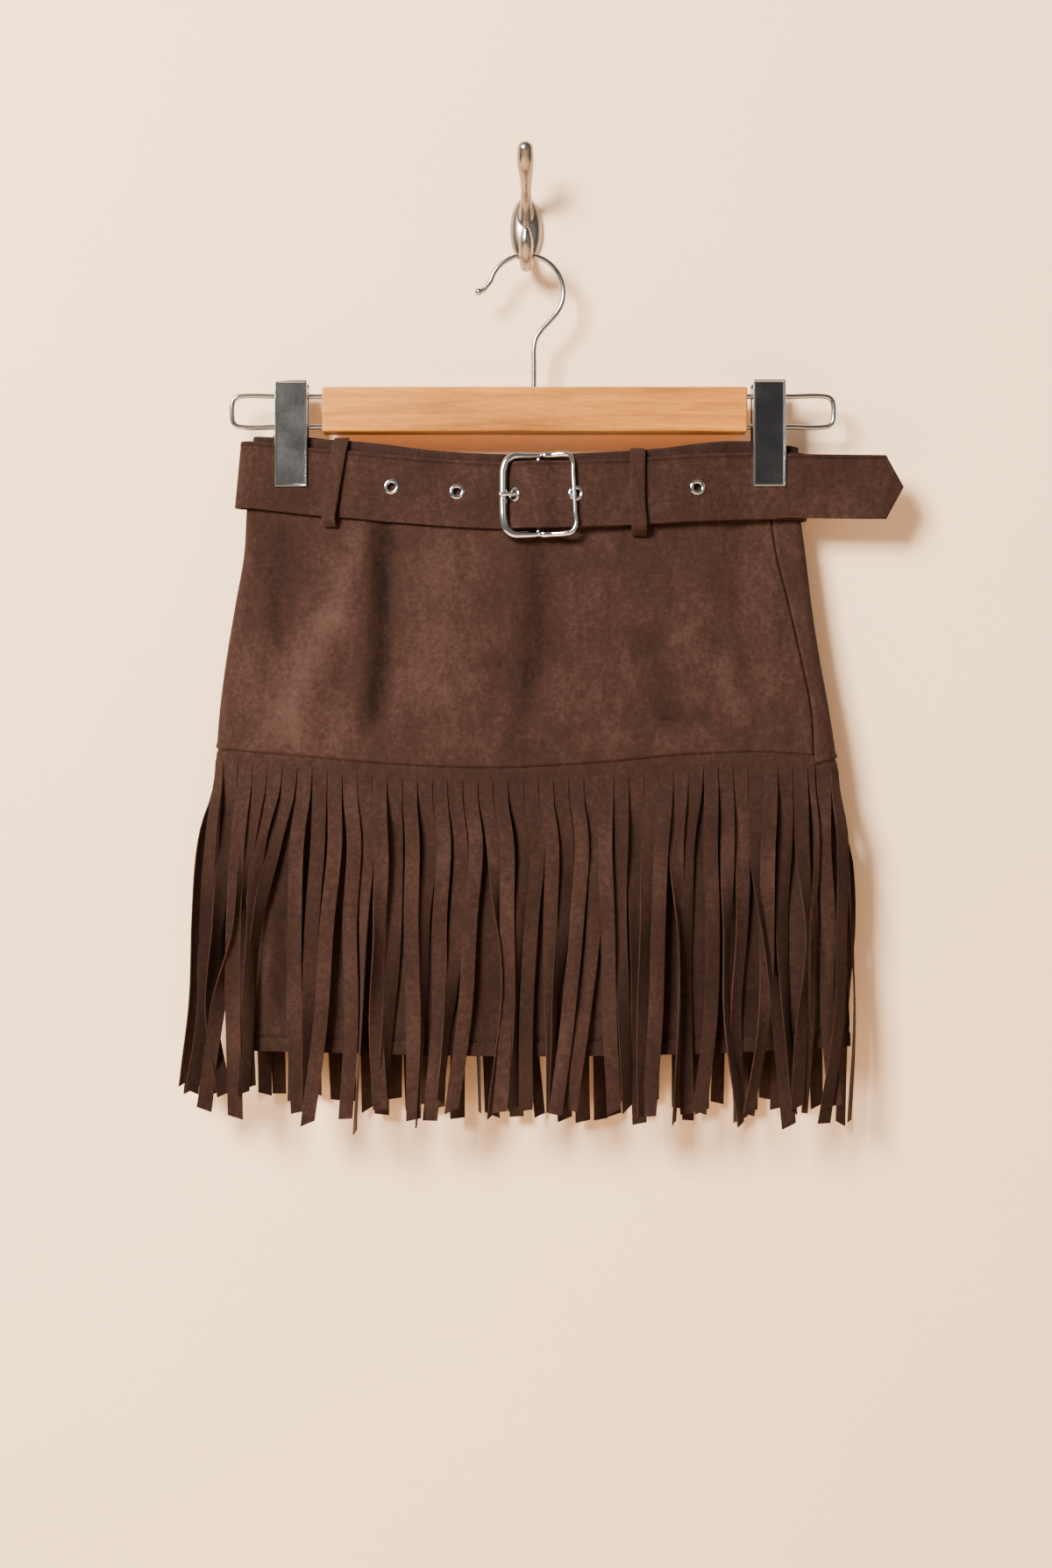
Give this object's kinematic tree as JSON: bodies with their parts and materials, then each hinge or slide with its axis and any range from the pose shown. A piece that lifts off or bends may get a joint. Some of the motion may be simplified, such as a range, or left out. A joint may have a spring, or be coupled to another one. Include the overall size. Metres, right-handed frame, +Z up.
{
  "type": "fringed suede skirt with belt, on a clip hanger and wall hook",
  "caption": "Short A-line suede skirt with a slit fringe over its underskirt and a buckled belt, hung by two clips on a wooden bar hanger from a wall hook.",
  "frame": {"origin": "middle of the wall hook's flat back face, on the wall", "axes": "+Y into the wall, +Z up, +X to the right as the skirt's front is seen; the skirt hangs in front of the wall towards -Y"},
  "size_m": [0.4338, 0.0517, 0.5865],
  "materials": {
    "yoke_suede": "suede, brushed nap",
    "underskirt_suede": "suede, brushed nap",
    "fringe_suede": "suede, brushed nap",
    "belt_suede": "suede, topstitched",
    "pale_wood": "clear satin lacquer",
    "bright_chrome": "polished",
    "satin_nickel": "satin plated"
  },
  "bodies": {
    "root": {"skirt_front_yoke": "yoke_suede", "skirt_back_yoke": "yoke_suede", "underskirt_front": "underskirt_suede", "underskirt_back": "underskirt_suede", "fringe_front": "fringe_suede", "fringe_back": "fringe_suede", "belt_strap": "belt_suede", "belt_loop_front_left": "belt_suede", "belt_loop_front_right": "belt_suede", "belt_loop_back_left": "belt_suede", "belt_loop_back_right": "belt_suede", "eyelet_left_outer": "bright_chrome", "eyelet_left_inner": "bright_chrome", "eyelet_prong": "bright_chrome", "eyelet_right_bar": "bright_chrome", "eyelet_under_loop": "bright_chrome", "eyelet_right_outer": "bright_chrome", "buckle_frame": "bright_chrome", "buckle_prong": "bright_chrome", "wall_hook": "satin_nickel", "hanger_hook": "bright_chrome", "hanger_bar": "pale_wood", "hanger_loop_left": "bright_chrome", "hanger_loop_right": "bright_chrome", "clip_left_front": "bright_chrome", "clip_left_back": "bright_chrome", "clip_left_spring": "bright_chrome", "clip_right_front": "bright_chrome", "clip_right_back": "bright_chrome", "clip_right_spring": "bright_chrome"}
  },
  "joints": []
}
